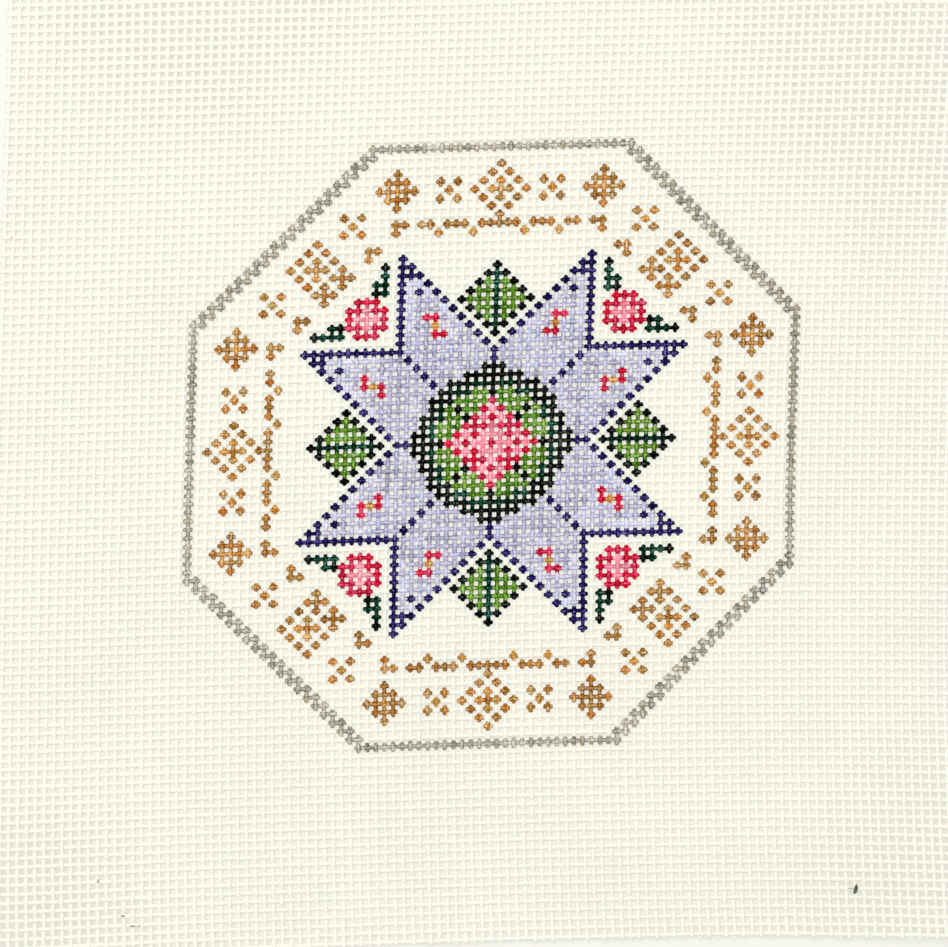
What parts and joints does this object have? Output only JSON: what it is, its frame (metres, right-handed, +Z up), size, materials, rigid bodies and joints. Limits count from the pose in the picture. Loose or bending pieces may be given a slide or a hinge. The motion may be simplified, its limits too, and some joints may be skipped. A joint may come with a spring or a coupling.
{
  "type": "needlepoint canvas panel",
  "caption": "Flat, nearly square length of white open-weave needlepoint canvas with raw cut edges, its corners lifted a little, and a painted motif in the middle.",
  "frame": {"origin": "on the table under the middle of the canvas's box", "axes": "+Z up out of the painted face, +Y towards the top of the design, +X to its right"},
  "size_m": [0.17, 0.1664, 0.0046],
  "materials": {
    "sized_cotton": "stiff sized white cotton in an open plain weave, dull, with painted threads in the middle"
  },
  "bodies": {
    "root": {"canvas": "sized_cotton"}
  },
  "joints": []
}
